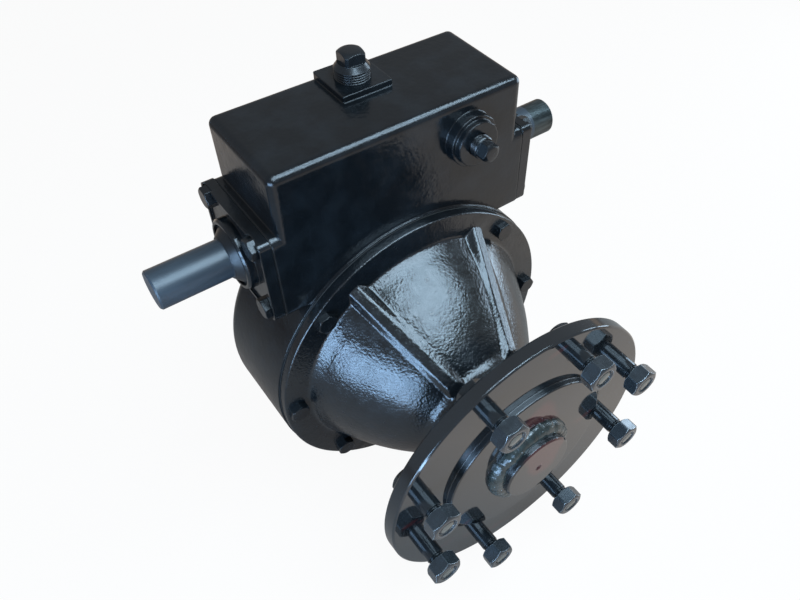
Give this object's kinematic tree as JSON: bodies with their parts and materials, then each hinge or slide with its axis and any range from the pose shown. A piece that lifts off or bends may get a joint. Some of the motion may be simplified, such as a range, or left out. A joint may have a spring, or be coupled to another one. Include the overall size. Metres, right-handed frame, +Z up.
{
  "type": "center pivot gearbox",
  "caption": "Worm gearbox with a ribbed bell cover, a through input shaft, and an output shaft that ends in a round wheel plate with studs and nuts.",
  "frame": {"origin": "on the output shaft's axis, in the front face of the wheel plate, where the wheel seats", "axes": "+X along the input shaft to its shorter end, -Y out of the wheel plate towards the wheel, +Z up to the worm's box"},
  "size_m": [0.3517, 0.2848, 0.3864],
  "materials": {
    "casting_enamel": "glossy black enamel over a sand casting",
    "plate_enamel": "glossy black enamel over machined steel",
    "bolt_steel": "black enamel over hexagon heads",
    "nut_steel": "dark oxide finish with worn edges",
    "shaft_steel": "satin black paint over ground steel",
    "gear_iron": "machined teeth on a cast blank",
    "inner_steel": "turned steel",
    "bearing_steel": "ground steel",
    "seal_rubber": "moulded rubber",
    "gasket_sheet": "gasket sheet and shim stock",
    "plug_iron": "black painted pipe plug"
  },
  "bodies": {
    "housing": {"cover_bolts": "bolt_steel", "cover_gasket": "gasket_sheet", "drain_plug": "plug_iron", "fill_plug": "plug_iron", "front_output_cup": "bearing_steel", "gear_case": "casting_enamel", "left_bearing_cap": "casting_enamel", "left_cap_bolts": "bolt_steel", "left_cap_shims": "gasket_sheet", "left_input_cup": "bearing_steel", "left_input_seal": "seal_rubber", "level_plug": "plug_iron", "output_cover": "casting_enamel", "output_seal": "seal_rubber", "rear_cover": "casting_enamel", "rear_cover_bolts": "bolt_steel", "rear_cover_shims": "gasket_sheet", "rear_output_cup": "bearing_steel", "right_bearing_cap": "casting_enamel", "right_cap_bolts": "bolt_steel", "right_cap_shims": "gasket_sheet", "right_input_cup": "bearing_steel", "right_input_seal": "seal_rubber"},
    "input_line": {"worm_shaft": "shaft_steel", "left_input_cone": "bearing_steel", "right_input_cone": "bearing_steel", "left_dust_excluder": "seal_rubber", "right_dust_excluder": "seal_rubber"},
    "output_line": {"output_shaft": "shaft_steel", "bull_gear": "gear_iron", "gear_key": "inner_steel", "front_spacer": "inner_steel", "front_output_cone": "bearing_steel", "rear_output_cone": "bearing_steel", "lock_washer": "inner_steel", "lock_nut": "inner_steel", "wheel_plate": "plate_enamel", "wheel_studs": "nut_steel", "wheel_nuts": "nut_steel", "shaft_weld": "plate_enamel"},
    "left_input_roller_set": {"left_input_rollers": "bearing_steel", "left_input_cage": "bearing_steel"},
    "right_input_roller_set": {"right_input_rollers": "bearing_steel", "right_input_cage": "bearing_steel"},
    "front_output_roller_set": {"front_output_rollers": "bearing_steel", "front_output_cage": "bearing_steel"},
    "rear_output_roller_set": {"rear_output_rollers": "bearing_steel", "rear_output_cage": "bearing_steel"}
  },
  "joints": [
    {"name": "output_spin", "type": "hinge", "parent": "housing", "child": "output_line", "pos_m": [0, 0, 0], "axis": [0, 1, 0], "continuous": true},
    {"name": "worm_spin", "type": "hinge", "parent": "housing", "child": "input_line", "pos_m": [0, 0.18985, 0.13], "axis": [1, 0, 0], "continuous": true},
    {"name": "left_input_cage_spin", "type": "hinge", "parent": "housing", "child": "left_input_roller_set", "pos_m": [-0.095, 0.18985, 0.13], "axis": [1, 0, 0], "continuous": true},
    {"name": "right_input_cage_spin", "type": "hinge", "parent": "housing", "child": "right_input_roller_set", "pos_m": [0.095, 0.18985, 0.13], "axis": [1, 0, 0], "continuous": true},
    {"name": "front_output_cage_spin", "type": "hinge", "parent": "housing", "child": "front_output_roller_set", "pos_m": [0, 0.05, 0], "axis": [0, 1, 0], "continuous": true},
    {"name": "rear_output_cage_spin", "type": "hinge", "parent": "housing", "child": "rear_output_roller_set", "pos_m": [0, 0.225, 0], "axis": [0, 1, 0], "continuous": true}
  ],
  "couplings": [
    {"joint": "worm_spin", "follows": "output_spin", "ratio": -50},
    {"joint": "left_input_cage_spin", "follows": "output_spin", "ratio": -21.17},
    {"joint": "right_input_cage_spin", "follows": "output_spin", "ratio": -21.17},
    {"joint": "front_output_cage_spin", "follows": "output_spin", "ratio": 0.4341},
    {"joint": "rear_output_cage_spin", "follows": "output_spin", "ratio": 0.4355}
  ]
}
